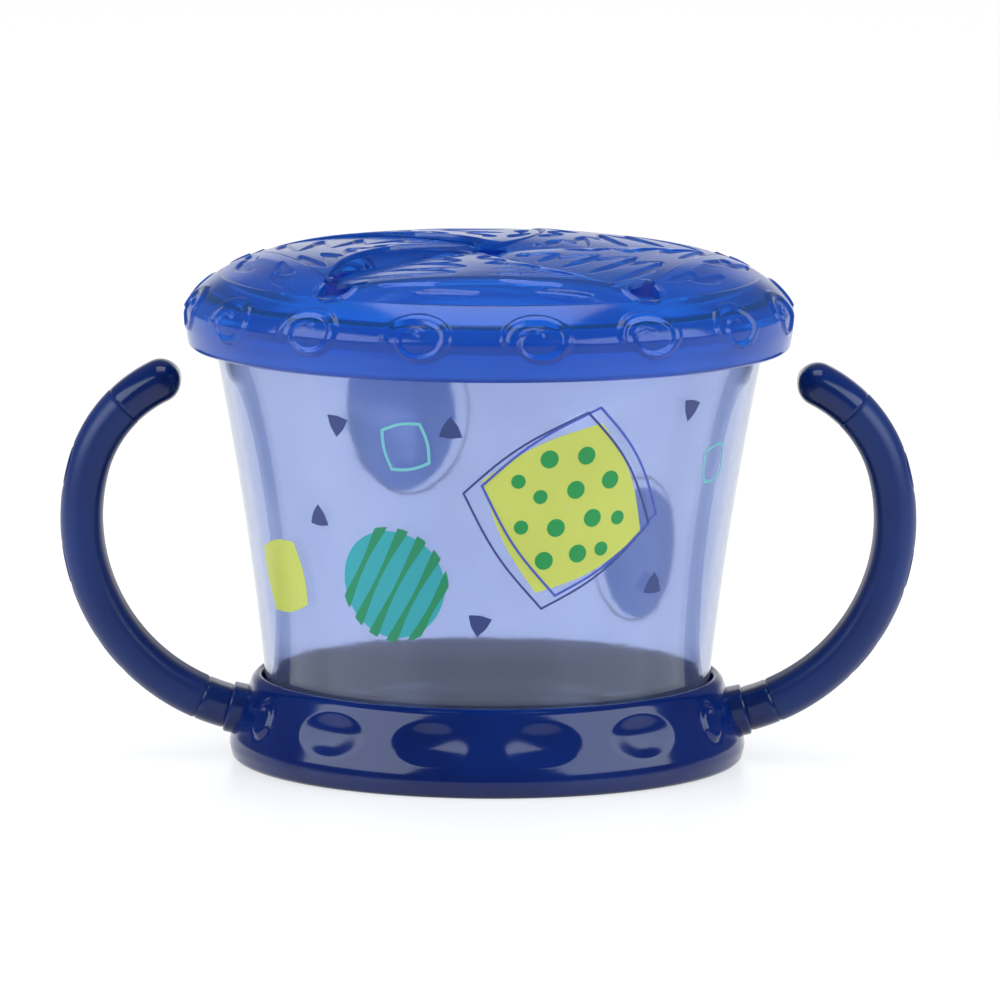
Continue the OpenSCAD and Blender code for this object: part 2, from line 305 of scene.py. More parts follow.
def rounded(points, radius, steps=4):
    """Rounds the corners of an open outline of [r, z] points; radius is one number, or one for each point."""
    pts = [np.array(p, float) for p in points]
    radii = [radius] * len(pts) if np.isscalar(radius) else radius
    out = [pts[0]]
    for k in range(1, len(pts) - 1):
        p, a, b = pts[k], pts[k - 1] - pts[k], pts[k + 1] - pts[k]
        la, lb = np.linalg.norm(a), np.linalg.norm(b)
        cut = min(radii[k], 0.45 * la, 0.45 * lb)
        if cut <= 0:
            out.append(p)
            continue
        start, end = p + a / la * cut, p + b / lb * cut
        for t in np.linspace(0, 1, steps + 1):
            out.append((1 - t) ** 2 * start + 2 * t * (1 - t) * p + t * t * end)
    out.append(pts[-1])
    return np.array(out)


def finer(points, step):
    """Adds points along an outline so that no stretch is longer than step."""
    out = [points[0]]
    for a, b in zip(points[:-1], points[1:]):
        n = max(1, int(math.ceil(np.linalg.norm(b - a) / step)))
        for t in range(1, n + 1):
            out.append(a + (b - a) * t / n)
    return np.array(out)


def lathe(outline, segments):
    """Points of one turn of an outline that starts and ends on the axis or closes on itself."""
    az = np.arange(segments) * TAU / segments
    r, z = outline[:, 0], outline[:, 1]
    x = r[:, None] * np.cos(az)
    y = r[:, None] * np.sin(az)
    return np.stack([x, y, np.broadcast_to(z[:, None], x.shape)], 2)


def capped(name, pts):
    """Mesh of rings of points whose first and last ring each lie on the axis."""
    segments = pts.shape[1]
    body = pts[1:-1]
    verts = np.vstack([body.reshape(-1, 3), [pts[0, 0]], [pts[-1, 0]]])
    faces = grid_faces(len(body), segments, False, True)
    first, last = len(verts) - 2, len(verts) - 1
    end = (len(body) - 1) * segments
    for j in range(segments):
        k = (j + 1) % segments
        faces.append((first, k, j))
        faces.append((last, end + j, end + k))
    return new_mesh(name, verts, faces)


def outward(obj):
    """Turns the faces of a closed mesh outwards."""
    bm = bmesh.new()
    bm.from_mesh(obj.data)
    bmesh.ops.recalc_face_normals(bm, faces=bm.faces)
    bm.to_mesh(obj.data)
    bm.free()


# Materials


def material(name):
    mat = bpy.data.materials.new(name)
    mat.use_nodes = True
    return mat, mat.node_tree.nodes, mat.node_tree.links, mat.node_tree.nodes["Principled BSDF"]


def object_noise(nodes, links, scale, detail=2.0):
    coords = nodes.new("ShaderNodeTexCoord")
    noise = nodes.new("ShaderNodeTexNoise")
    noise.inputs["Scale"].default_value = scale
    noise.inputs["Detail"].default_value = detail
    links.new(coords.outputs["Object"], noise.inputs["Vector"])
    return noise


def vary(nodes, links, noise, low, high, target):
    ramp = nodes.new("ShaderNodeMapRange")
    ramp.inputs["To Min"].default_value = low
    ramp.inputs["To Max"].default_value = high
    links.new(noise.outputs["Fac"], ramp.inputs["Value"])
    links.new(ramp.outputs["Result"], target)


def tint(nodes, links, noise, low, high, target):
    ramp = nodes.new("ShaderNodeValToRGB")
    ramp.color_ramp.elements[0].position = 0.35
    ramp.color_ramp.elements[0].color = (*low, 1)
    ramp.color_ramp.elements[1].position = 0.65
    ramp.color_ramp.elements[1].color = (*high, 1)
    links.new(noise.outputs["Fac"], ramp.inputs["Fac"])
    links.new(ramp.outputs["Color"], target)


def bump(nodes, links, noise, strength, distance, shader):
    node = nodes.new("ShaderNodeBump")
    node.inputs["Strength"].default_value = strength
    node.inputs["Distance"].default_value = distance
    links.new(noise.outputs["Fac"], node.inputs["Height"])
    links.new(node.outputs["Normal"], shader.inputs["Normal"])


def linear(r, g, b):
    """A colour given in 0-255 screen values, as the linear values that a shader takes."""
    out = []
    for v in (r, g, b):
        v /= 255
        out.append(v / 12.92 if v <= 0.04045 else ((v + 0.055) / 1.055) ** 2.4)
    return tuple(out)


def moulded(name, low, high, rough=(0.12, 0.2), transmission=0.0, ior=1.5, bump_size=0.00002, scale=60.0):
    mat, nodes, links, shader = material(name)
    noise = object_noise(nodes, links, scale)
    fine = object_noise(nodes, links, scale * 8, 4.0)
    tint(nodes, links, noise, linear(*low), linear(*high), shader.inputs["Base Color"])
    vary(nodes, links, noise, rough[0], rough[1], shader.inputs["Roughness"])
    bump(nodes, links, fine, 0.5, bump_size, shader)
    shader.inputs["IOR"].default_value = ior
    shader.inputs["Transmission Weight"].default_value = transmission
    return mat


def less_mirror(name, level):
    """Makes a material reflect less than its IOR says: 0.5 is as it says."""
    shader = bpy.data.materials[name].node_tree.nodes["Principled BSDF"]
    shader.inputs["Specular IOR Level"].default_value = level


# Pieces


def ring_grid(az, columns):
    """Points of a closed sweep round the axis: columns are (r, z), each one number or one per azimuth."""
    rows = []
    for r, z in columns:
        r = np.broadcast_to(r, az.shape)
        z = np.broadcast_to(z, az.shape)
        rows.append(np.stack([r * np.cos(az), r * np.sin(az), z], 1))
    return np.array(rows)


def polyline_distance(px, py, line):
    """Distance from each point to a polyline of [x, y] points."""
    best = np.full(px.shape, 1e9)
    for (ax, ay), (bx, by) in zip(line[:-1], line[1:]):
        dx, dy = bx - ax, by - ay
        t = np.clip(((px - ax) * dx + (py - ay) * dy) / (dx * dx + dy * dy), 0, 1)
        best = np.minimum(best, np.hypot(px - ax - t * dx, py - ay - t * dy))
    return best


def leaf_depth(px, py, line, half_width):
    """Share of the full depth within a zigzag row of slim curved leaves, one along each stretch of a line."""
    best = np.zeros(px.shape)
    for (ax, ay), (bx, by) in zip(line[:-1], line[1:]):
        dx, dy = bx - ax, by - ay
        length = math.hypot(dx, dy)
        t = ((px - ax) * dx + (py - ay) * dy) / length ** 2
        swell = np.clip(4 * t * (1 - t), 0, 1)
        off = ((px - ax) * dy - (py - ay) * dx) / length - LEAF_BOW * length * swell
        inside = half_width * swell ** LEAF_TAPER - np.abs(off)
        best = np.maximum(best, smooth_step(inside / LEAF_EDGE))
    return best


def swirl_line(turns=1.3, outer=5.5, inner=1.6, squash=0.76, steps=44):
    """A flat spiral, wound inwards clockwise from its left side."""
    t = np.linspace(0, 1, steps)
    angle = math.pi - turns * TAU * t
    radius = outer + (inner - outer) * t ** 1.8
    return np.stack([radius * np.cos(angle), squash * radius * np.sin(angle)], 1)


def ribbon_share(px, py, line, halves):
    """Share of the full height within a ribbon along a line, its half widths spread evenly over the line."""
    wide = np.interp(np.linspace(0, 1, len(line)), np.linspace(0, 1, len(halves)), halves)
    inside = np.full(px.shape, -9.0)
    for (ax, ay), (bx, by), wa, wb in zip(line[:-1], line[1:], wide[:-1], wide[1:]):
        dx, dy = bx - ax, by - ay
        t = np.clip(((px - ax) * dx + (py - ay) * dy) / (dx * dx + dy * dy), 0, 1)
        off = np.hypot(px - ax - t * dx, py - ay - t * dy)
        inside = np.maximum(inside, wa + (wb - wa) * t - off)
    return smooth_step(inside / SWIRL_EDGE)


# Base


def base_outline():
    ring_out = BASE_R - FOOT_BEVEL
    ring_in = ring_out - FOOT_RING_W
    cup_at_lip = cup_radius(BASE_H)
    pts = [
        (0, FOOT_RECESS), (ring_in, FOOT_RECESS), (ring_in, 0), (ring_out, 0), (BASE_R - 0.5, 0.5),
        (BASE_R - 0.05, 2.4), FLANK_LOW, FLANK_TOP, (LIP_R, BASE_H - 0.7), (LIP_R - 0.8, BASE_H),
        (cup_at_lip + 0.75, BASE_H), (cup_at_lip + SEAT_GAP, BASE_H - 0.6),
        (CUP_FOOT_R + SEAT_GAP, SEAT_Z), (0, SEAT_Z),
    ]
    return finer(rounded(pts, BASE_ROUND), BASE_STEP)


def mark_turn(az, place):
    """Turn from the mark at a numbered place round the base, within half a turn either way."""
    return (az - (place * MARK_STEP - TAU / 4) + math.pi) % TAU - math.pi


def base_relief(az, z):
    """How far the flank stands out at an azimuth and height: dimples, bosses with a groove round them."""
    out = np.zeros(np.broadcast(az, z).shape)
    for side in (0, MARKS_A_SIDE):
        for k in DIMPLE_PLACES:
            turn = mark_turn(az, side + k)
            q = np.hypot(turn * MARK_R / (DIMPLE_W / 2), (z - MARK_Z) / (DIMPLE_H / 2))
            out -= DIMPLE_DEPTH * np.clip(1 - q * q, 0, 1) ** DIMPLE_SOFTNESS
        for k in BOSS_PLACES:
            turn = mark_turn(az, side + k)
            d = np.hypot(turn * MARK_R, z - MARK_Z)
            out += BOSS_RISE * smooth_step((BOSS_R + 0.15 - d) / 0.35)
            out -= BOSS_DISH * smooth_step((BOSS_R - 0.7 - d) / 0.4)
            out -= BOSS_GROOVE * np.exp(-(((d - BOSS_R - 0.6) / 0.3) ** 2))
    return out


def make_base():
    outline = base_outline()
    pts = lathe(outline, BASE_SEGMENTS)
    az = np.arange(BASE_SEGMENTS) * TAU / BASE_SEGMENTS
    r, z = outline[:, 0], outline[:, 1]
    flank = (r > LIP_R - 0.2) & (z > MARKS_FROM_Z) & (z < BASE_H - 0.4)
    tilt = math.atan2(FLANK_LOW[0] - FLANK_TOP[0], FLANK_TOP[1] - FLANK_LOW[1])
    shift = base_relief(az[None, :], z[:, None]) * flank[:, None]
    pts[:, :, 0] += shift * math.cos(tilt) * np.cos(az)
    pts[:, :, 1] += shift * math.cos(tilt) * np.sin(az)
    pts[:, :, 2] += shift * math.sin(tilt)
    obj = capped("base_dish", pts)
    outward(obj)
    obj.data.materials.append(moulded("navy_gloss", (0, 26, 88), (2, 34, 102), (0.1, 0.16)))
    less_mirror("navy_gloss", 0.38)
    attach(obj, "base_unit")
    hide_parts("base")


# Cup


def cup_radius(z):
    t = (z - SEAT_Z) / (CUP_TOP_Z - BEAD_H - SEAT_Z)
    return CUP_FOOT_R + (CUP_TOP_R - CUP_FOOT_R) * t - 4 * CUP_SAG * t * (1 - t)


def cup_outline():
    bead_low = CUP_TOP_Z - BEAD_H
    bead_r = CUP_TOP_R + BEAD_OUT
    floor_z = SEAT_Z + CUP_FLOOR
    out_wall = [(cup_radius(z), z) for z in np.linspace(SEAT_Z, bead_low, CUP_ROWS)]
    in_wall = [(cup_radius(z) - CUP_WALL, z) for z in np.linspace(bead_low, floor_z, CUP_ROWS)]
    pts = [(0, SEAT_Z)] + out_wall + [(bead_r, bead_low + 0.2), (bead_r, CUP_TOP_Z)]
    pts += [(CUP_TOP_R - CUP_WALL, CUP_TOP_Z)] + in_wall + [(0, floor_z)]
    radii = [CUP_EDGE_ROUND] * len(pts)
    radii[1] = CUP_FOOT_ROUND
    radii[-2] = CUP_FLOOR_ROUND
    return rounded(pts, radii)


def make_cup():
    obj = capped("cup_tub", lathe(cup_outline(), CUP_SEGMENTS))
    outward(obj)
    mat = moulded("cup_clear", (195, 206, 236), (201, 211, 239), (0.05, 0.09), transmission=0.945, ior=1.46)
    obj.data.materials.append(mat)
    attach(obj, "cup_unit")
    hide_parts("cup")


# Prints on the cup


def rounded_shape(corners, size, roundness, turn, count=96):
    """Outline of a rounded polygon about the origin, as [x, z] points at even angles."""
    a = np.arange(count) * TAU / count
    step = TAU / corners
    from_middle = (a + step / 2) % step - step / 2
    flat = math.cos(step / 2) / np.cos(from_middle)
    radius = size * (flat * (1 - roundness) + roundness * (1 + math.cos(step / 2)) / 2)
    return np.stack([radius * np.cos(a + turn), radius * np.sin(a + turn)], 1)


def band_in_circle(low, high, size, turn, count=24):
    """Outline of the part of a circle that lies between two parallel lines."""
    low_turn, high_turn = math.asin(low / size), math.asin(high / size)
    right = np.linspace(low_turn, high_turn, count // 2)
    left = np.linspace(math.pi - high_turn, math.pi - low_turn, count // 2)
    a = np.concatenate([right, left])
    x, y = size * np.cos(a), size * np.sin(a)
    c, s = math.cos(turn), math.sin(turn)
    return np.stack([c * x - s * y, s * x + c * y], 1)


def film(outer, inner, az, z, low, high):
    """Points and faces of a thin closed film on the cup's outside, between its inner and outer outline."""
    rings = [inner + (outer - inner) * t for t in np.linspace(0, 1, FILM_RINGS)]
    flat = np.array(rings)
    height = z + flat[:, :, 1]
    turn = az + flat[:, :, 0] / cup_radius(z)
    layers = []
    for lift in (low, high):
        r = cup_radius(height) + lift
        layers.append(np.stack([r * np.cos(turn), r * np.sin(turn), height], 2))
    pts = np.concatenate([layers[1], layers[0][::-1]])
    return pts.reshape(-1, 3), grid_faces(2 * FILM_RINGS, flat.shape[1], True, True)


def make_print(name, colour, parts, see_through=0.25):
    """One colour of the print: parts are (outer outline, inner outline or None, azimuth, height, layer)."""
    verts, faces = [], []
    for outer, inner, az, z, layer in parts:
        middle = outer.mean(axis=0)
        inside = middle + 0.01 * (outer - middle) if inner is None else inner
        low = PRINT_T * (layer + 0.3)
        pts, own = film(outer, inside, math.radians(az), z, low, low + PRINT_T)
        start = sum(len(v) for v in verts)
        verts.append(pts)
        faces += [tuple(start + i for i in f) for f in own]
    obj = new_mesh("print_" + name, np.vstack(verts), faces)
    outward(obj)
    obj.data.set_sharp_from_angle(angle=math.radians(40))
    shade = tuple(min(255, c + 6) for c in colour)
    obj.data.materials.append(moulded("ink_" + name, colour, shade, (0.25, 0.35), see_through))
    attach(obj, "cup_unit")


def outline_ring(shape, width, az, z, layer):
    size = np.hypot(shape[:, 0], shape[:, 1]).max()
    return (shape, shape * (1 - width / size), az, z, layer)


def make_prints():
    square = rounded_shape(4, SQUARE_SIZE, 0.35, 0.45)
    square_line = rounded_shape(4, SQUARE_LINE_SIZE, 0.3, 0.6)
    disc = rounded_shape(6, DISC_SIZE, 1.0, 0.0)
    triangle = rounded_shape(3, TRIANGLE_SIZE, 0.3, 0.5, 36)
    turned = rounded_shape(3, TRIANGLE_SIZE, 0.3, 1.4, 36)
    dot = rounded_shape(6, DOT_SIZE, 1.0, 0.0, 24)
    big_dot = rounded_shape(6, BIG_DOT_SIZE, 1.0, 0.0, 24)
    oval = rounded_shape(6, OVAL_SIZE, 1.0, 0.0) * np.array([1.0, OVAL_STRETCH])
    small_square = rounded_shape(4, SMALL_SQUARE_SIZE, 0.4, 0.2, 48)
    make_print("lime", (222, 230, 104), [(square, None, *SQUARE_AT, 0),
                                         (small_square * 1.5, None, 212, 33, 0)])
    spots = [(-8.2, 4.6), (-3.4, 8.2), (2.6, 8.6), (-4.6, 2.0), (1.2, 3.0), (7.0, 4.4), (-7.6, -3.0),
             (-1.8, -3.2), (4.4, -1.8), (9.0, -2.0), (-3.6, -8.6), (2.2, -7.6), (6.4, -7.0)]
    green = []
    turn, height = SQUARE_AT
    for i, (x, z) in enumerate(spots):
        shape = big_dot if i % 3 else dot
        green.append((shape, None, turn + math.degrees(x / cup_radius(height)), height + z, 1))
    make_print("green", (0, 160, 75), green)
    make_print("navy_line", (45, 62, 140), [outline_ring(square_line, 0.45, 287, 46.6, 2)])
    make_print("blue_line", (72, 92, 200), [outline_ring(square_line * 0.96, 0.5, 290, 48, 2)])
    make_print("teal", (45, 180, 190), [(disc, None, *DISC_AT, 0)])
    stripes = []
    for low in STRIPES_FROM:
        band = band_in_circle(low, low + STRIPE_W, DISC_SIZE, STRIPE_LEAN)
        stripes.append((band, None, *DISC_AT, 1))
    make_print("green_stripe", (0, 150, 100), stripes)
    marks = [(triangle, 262, 60), (turned, 236, 60), (turned, 268, 28), (triangle, 313, 33),
             (triangle, 228, 44), (turned, 318, 62)]
    make_print("navy", (42, 62, 130), [(shape, None, az, z, 0) for shape, az, z in marks])
    make_print("aqua", (130, 215, 220), [outline_ring(small_square, 0.6, 252, 57, 0),
                                         outline_ring(small_square * 0.8, 0.5, 330, 52, 0)])
    make_print("pale_blue", (92, 158, 234), [(oval, None, 112, 52, 0), (oval * 0.85, None, 46, 30, 0)], 0.75)
    make_print("pale_line", (72, 92, 170), [outline_ring(oval * 1.1, 0.4, 110, 52.5, 2),
                                            outline_ring(oval * 0.95, 0.4, 48, 30.5, 2)])


# Lid


def crown(r):
    return CROWN_Z + CROWN_H * np.clip(1 - (np.asarray(r) / LID_R) ** CROWN_FLATNESS, 0, 1) ** CROWN_ROUNDNESS


def mouth_radius(az):
    """Radius of the lid's mouth: a pentagon with a round hole at each corner and a slot on both sides."""
    from_corner = np.abs((az - LOW_AZ + TURN / 2) % TURN - TURN / 2)
    from_middle = TURN / 2 - from_corner
    cut = np.where(-HINGE_Y * np.tan(from_middle) > SLOT_X, SLOT_LID, 0)
    edge = (-HINGE_Y + cut) / np.cos(from_middle)
    side = SLIT_END_R * np.sin(from_corner)
    far = SLIT_END_R * np.cos(from_corner) + np.sqrt(np.clip(RELIEF_R ** 2 - side ** 2, 0, None))
    return np.where(side < RELIEF_R, np.maximum(edge, far), edge)


def shoulder_line():
    """Outer outline of the lid from its shoulder down to its lower edge, in even steps, with its length."""
    r = SHOULDER_R + (LID_R - SHOULDER_R) * np.sin(np.linspace(0, math.pi / 2, 60))
    curve = np.stack([r, crown(r)], 1)
    low = rounded([(LID_R, CROWN_Z), (LID_R, LID_BOTTOM + 3.6), (LID_R - 0.2, LID_BOTTOM + 2.2),
                   (LID_R - 0.5, LID_BOTTOM + 0.4), (LID_R - 1.1, LID_BOTTOM)], 0.4)
    line = np.vstack([curve, low[1:]])
    length = np.concatenate([[0], np.cumsum(np.linalg.norm(np.diff(line, axis=0), axis=1))])
    s = np.linspace(0, length[-1], int(length[-1] / SHOULDER_STEP))
    return np.stack([np.interp(s, length, line[:, 0]), np.interp(s, length, line[:, 1])], 1), s


def crown_relief(x, y):
    """Relief of the dome outside the mouth: a hollow and leaves beyond each hinge, a rim round each hole."""
    out = np.zeros(x.shape)
    for k in range(PETALS):
        a = k * TURN
        u = x * math.cos(a) + y * math.sin(a)
        v = -x * math.sin(a) + y * math.cos(a)
        q = (u / HOLLOW_HALF_WIDTH) ** 2 + ((-v - HOLLOW_R) / HOLLOW_HALF_DEPTH) ** 2
        out -= HOLLOW_SUNK * np.clip(1 - q, 0, 1)
        for line in RIM_LINES:
            out -= ZIGZAG_DEPTH * leaf_depth(u, v, line, RIM_LEAF_SHARE * ZIGZAG_HALF)
        corner = LOW_AZ + k * TURN
        d = np.hypot(x - SLIT_END_R * math.cos(corner), y - SLIT_END_R * math.sin(corner))
        out += HOLE_RIM * np.exp(-(((d - RELIEF_R - 0.7) / 0.45) ** 2))
    return out


def skirt_relief(az, s, s_middle):
    """Relief of the skirt: raised swirls round it, at distance s along the outline."""
    step = TAU / SWIRLS
    turn = (az - SWIRL_START + step / 2) % step - step / 2
    return SWIRL_RELIEF * ribbon_share(turn * LID_R, s_middle - s, swirl_line(), SWIRL_HALVES)


def make_lid():
    az = np.arange(LID_SEGMENTS) * TAU / LID_SEGMENTS
    mouth = mouth_radius(az)
    under = np.minimum(mouth, PLUG_IN_R - 0.1)
    columns = [(under, crown(mouth) - LID_WALL), (mouth, crown(mouth) - LID_WALL * 0.6),
               (mouth, crown(mouth) - MOUTH_ROUND), (mouth + 0.1, crown(mouth) - 0.07)]
    first = len(columns)
    for t in np.linspace(0, 1, DOME_ROWS)[:-1]:
        r = mouth + MOUTH_ROUND + (SHOULDER_R - mouth - MOUTH_ROUND) * t
        columns.append((r, crown(r)))
    last = len(columns)
    line, s = shoulder_line()
    columns += [(r, z) for r, z in line]
    skirt_in = LID_R - SKIRT_WALL
    inside = rounded([line[-1], (skirt_in - 0.1, LID_BOTTOM + 0.1), (skirt_in, LID_BOTTOM + 2.2),
                      (skirt_in, CUP_TOP_Z - 1.2), (CUP_TOP_R + BEAD_OUT + BEAD_GAP, CUP_TOP_Z),
                      (PLUG_R, CUP_TOP_Z), (PLUG_R, PLUG_LOW_Z), (PLUG_IN_R, PLUG_LOW_Z),
                      (PLUG_IN_R, float(crown(PLUG_IN_R)) - LID_WALL)], 0.25)
    columns += [(r, z) for r, z in inside[1:]]
    for t in np.linspace(0, 1, 6)[1:-1]:
        r = PLUG_IN_R + (under - PLUG_IN_R) * t
        columns.append((r, crown(r) - LID_WALL))
    pts = ring_grid(az, columns)
    dome = pts[first:last]
    dome[:, :, 2] += crown_relief(dome[:, :, 0], dome[:, :, 1])
    normal = np.stack([-np.gradient(line[:, 1]), np.gradient(line[:, 0])], 1)
    normal /= np.linalg.norm(normal, axis=1)[:, None]
    middle = np.interp(-SWIRL_Z, -line[:, 1], s)
    lift = skirt_relief(az[None, :], s[:, None], middle)
    skirt = pts[last:last + len(line)]
    skirt[:, :, 0] += lift * normal[:, :1] * np.cos(az)
    skirt[:, :, 1] += lift * normal[:, :1] * np.sin(az)
    skirt[:, :, 2] += lift * normal[:, 1:]
    obj = new_mesh("lid_dome", pts.reshape(-1, 3), grid_faces(len(pts), LID_SEGMENTS, True, True))
    outward(obj)
    obj.data.set_sharp_from_angle(angle=math.radians(50))
    obj.data.materials.append(lid_material("lid_blue_clear", (34, 114, 222), (40, 120, 226), 0.22))
    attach(obj, "lid_unit")
    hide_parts("lid")


def lid_material(name, low, high, mirror):
    mat = moulded(name, low, high, (0.12, 0.18), transmission=0.76, ior=1.46)
    less_mirror(name, mirror)
    return mat


# Petals


def slit_centre(az):
    a = az - SLIT_TURN + TAU / 4
    return SLIT_R * np.array([math.cos(a), math.sin(a)])


def left_crossing(c, r, y):
    return math.pi - math.asin((y - c[1]) / r)


def petal_plan(v, u):
    """Plan of the front petal: v runs from the hinge to the tip, u from the low edge to the raised one."""
    high_az = LOW_AZ + TURN
    c_low, c_high = slit_centre(LOW_AZ), slit_centre(high_az)
    r_low, r_high = SLIT_R - SLIT_W / 2, SLIT_R + SLIT_W / 2
    y0 = HINGE_Y + HINGE_GAP
    turn = SLIT_TURN + TAU / 4 - SLIT_TIP
    a_low = left_crossing(c_low, r_low, y0) * (1 - v) + (LOW_AZ - turn) * v
    a_high = left_crossing(c_high, r_high, y0) * (1 - v) + (high_az - turn) * v
    low = c_low[:, None, None] + r_low * np.array([np.cos(a_low), np.sin(a_low)])
    high = c_high[:, None, None] + r_high * np.array([np.cos(a_high), np.sin(a_high)])
    return low * (1 - u) + high * u, np.hypot(low[0], low[1])


ZIGZAGS = [
    [(0.03, 0.13), (0.46, 0.07), (0.14, 0.27), (0.58, 0.25), (0.20, 0.44), (0.62, 0.45), (0.28, 0.61),
     (0.64, 0.66), (0.40, 0.78), (0.62, 0.86)],
    [(0.56, 0.04), (0.93, 0.09), (0.66, 0.17), (0.95, 0.29), (0.71, 0.35), (0.94, 0.52), (0.76, 0.55),
     (0.92, 0.74)],
    [(0.07, 0.46), (0.15, 0.62), (0.06, 0.66), (0.22, 0.84)],
]


def petal_relief(plan):
    """Relief of a petal: zigzag rows of leaves sunk in it, each given by points (u, v) of the petal."""
    out = np.zeros(plan.shape[1:])
    for points in ZIGZAGS:
        at = np.array(points)
        corners, _ = petal_plan(at[:, 1][None, :], at[:, 0][None, :])
        out = np.maximum(out, leaf_depth(plan[0], plan[1], corners[:, 0].T, ZIGZAG_HALF))
    return -ZIGZAG_DEPTH * out


def petal_lift(k, s, u, y):
    """Height of petal k above the dome, from its raised edge, its low edge, its tip and the way it leans."""
    rise = PETAL_RISE * RISE_SHARE[k] * (1 - s ** 2) * u ** 1.5
    drop = PETAL_DROP * DROP_SHARE[k] * (1 - (1 - s) ** 4) * (1 - s ** 5) * (1 - u) ** 2
    tip = TIP_DROP * TIP_SHARE[k] * (1 - s) ** 5
    return rise - drop - tip + PETAL_LEAN[k] * (1 - y / HINGE_Y)


def make_petal(k, name):
    rows, cols = PETAL_ROWS, PETAL_COLS
    v, u = np.meshgrid(np.linspace(0, 1, rows), np.linspace(0, 1, cols), indexing="ij")
    plan, reach = petal_plan(v, u)
    lift = petal_lift(k, np.minimum(1, reach / SLIT_END_R), u, plan[1])
    from_hinge = plan[1] - HINGE_Y - HINGE_GAP
    root = np.where(np.abs(plan[0]) < SLOT_X, -HINGE_GAP, SLOT_PETAL - HINGE_GAP)
    plan[1] += root * np.clip(1 - from_hinge / ROOT_FADE, 0, 1)
    top = crown(np.hypot(plan[0], plan[1])) + lift
    thick = HINGE_T + (PETAL_T - HINGE_T) * np.clip(from_hinge / HINGE_TAPER, 0, 1)
    low = top - thick
    edge = PETAL_SPAN * np.minimum.reduce([u, 1 - u, 1 - v])
    top = top + petal_relief(plan) * smooth_step(edge / RELIEF_FADE)
    top = top - PETAL_EDGE_DROP * (1 - smooth_step(edge / PETAL_EDGE_W))
    upper = np.stack([plan[0], plan[1], top], 2).reshape(-1, 3)
    lower = np.stack([plan[0], plan[1], low], 2).reshape(-1, 3)
    n = len(upper)
    faces = grid_faces(rows, cols) + grid_faces(rows, cols, start=n, flip=True)
    rim = list(range(cols)) + [i * cols + cols - 1 for i in range(1, rows)]
    rim += [(rows - 1) * cols + j for j in range(cols - 2, -1, -1)]
    rim += [i * cols for i in range(rows - 2, 0, -1)]
    for a, b in zip(rim, rim[1:] + rim[:1]):
        faces.append((a, b, n + b, n + a))
    verts = np.vstack([upper, lower])
    c, s = math.cos(k * TURN), math.sin(k * TURN)
    verts = verts @ np.array([[c, s, 0], [-s, c, 0], [0, 0, 1]])
    obj = new_mesh("petal_" + name, verts, faces)
    outward(obj)
    cut_holes(obj, k)
    obj.data.set_sharp_from_angle(angle=math.radians(45))
    if "petal_soft" not in bpy.data.materials:
        lid_material("petal_soft", (42, 114, 212), (48, 120, 216), 0.34)
    obj.data.materials.clear()
    obj.data.materials.append(bpy.data.materials["petal_soft"])
    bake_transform(obj)
    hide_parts("flap_" + name)


def cut_holes(obj, k):
    """Cuts the round relief hole at both ends of the petal's hinge."""
    for corner in (LOW_AZ + k * TURN, LOW_AZ + (k + 1) * TURN):
        cx, cy = SLIT_END_R * math.cos(corner), SLIT_END_R * math.sin(corner)
        n = HOLE_POINTS
        az = np.arange(n) * TAU / n
        ring = [(RELIEF_R * math.cos(a) + cx, RELIEF_R * math.sin(a) + cy) for a in az]
        verts = [(x, y, LID_BOTTOM) for x, y in ring] + [(x, y, CROWN_Z + 2 * CROWN_H) for x, y in ring]
        faces = [(j, (j + 1) % n, n + (j + 1) % n, n + j) for j in range(n)]
        faces += [tuple(range(n - 1, -1, -1)), tuple(range(n, 2 * n))]
        cutter = new_mesh("cutter", verts, faces, smooth=False)
        mod = obj.modifiers.new("cut", "BOOLEAN")
        mod.operation = "DIFFERENCE"
        mod.solver = "EXACT"
        mod.object = cutter
        depsgraph = bpy.context.evaluated_depsgraph_get()
        mesh = bpy.data.meshes.new_from_object(obj.evaluated_get(depsgraph))
        obj.modifiers.clear()
        obj.data = mesh
        bpy.data.objects.remove(cutter)
    obj.data.polygons.foreach_set("use_smooth", [True] * len(obj.data.polygons))


# Handles


def handle_path(heading):
    """Centre of the handle's section and its outward normal in the plane y = 0, on the +X side."""
    lower_c = (ROOT[0] - LOWER_R * math.sin(ROOT_HEADING), ROOT[1] + LOWER_R * math.cos(ROOT_HEADING))
    c, r = lower_c, LOWER_R
    if heading > BEND_HEADING:
        upper_c = (lower_c[0] + (LOWER_R - UPPER_R) * math.sin(BEND_HEADING),
                   lower_c[1] - (LOWER_R - UPPER_R) * math.cos(BEND_HEADING))
        c, r = upper_c, UPPER_R
    n = np.array([math.sin(heading), -math.cos(heading)])
    return np.array(c) + r * n, n


def section(count, margin, front=2.3, back=3.6):
    """Outline of the handle's section: (outward, depth) pairs, rounder outside than towards the cup."""
    a = np.arange(count) * TAU / count
    c, s = np.cos(a), np.sin(a)
    power = np.where(c > 0, front, back)
    n = (HANDLE_W / 2 - margin) * np.sign(c) * np.abs(c) ** (2 / power)
    b = (HANDLE_DEPTH / 2 - margin) * np.sign(s) * np.abs(s) ** (2 / power)
    return n, b


def headings(low, high, step=0.35):
    """Headings from low to high, spaced evenly along the handle's path."""
    count = max(2, int(abs(high - low) * MEAN_BEND_R / step))
    return list(np.linspace(low, high, count))


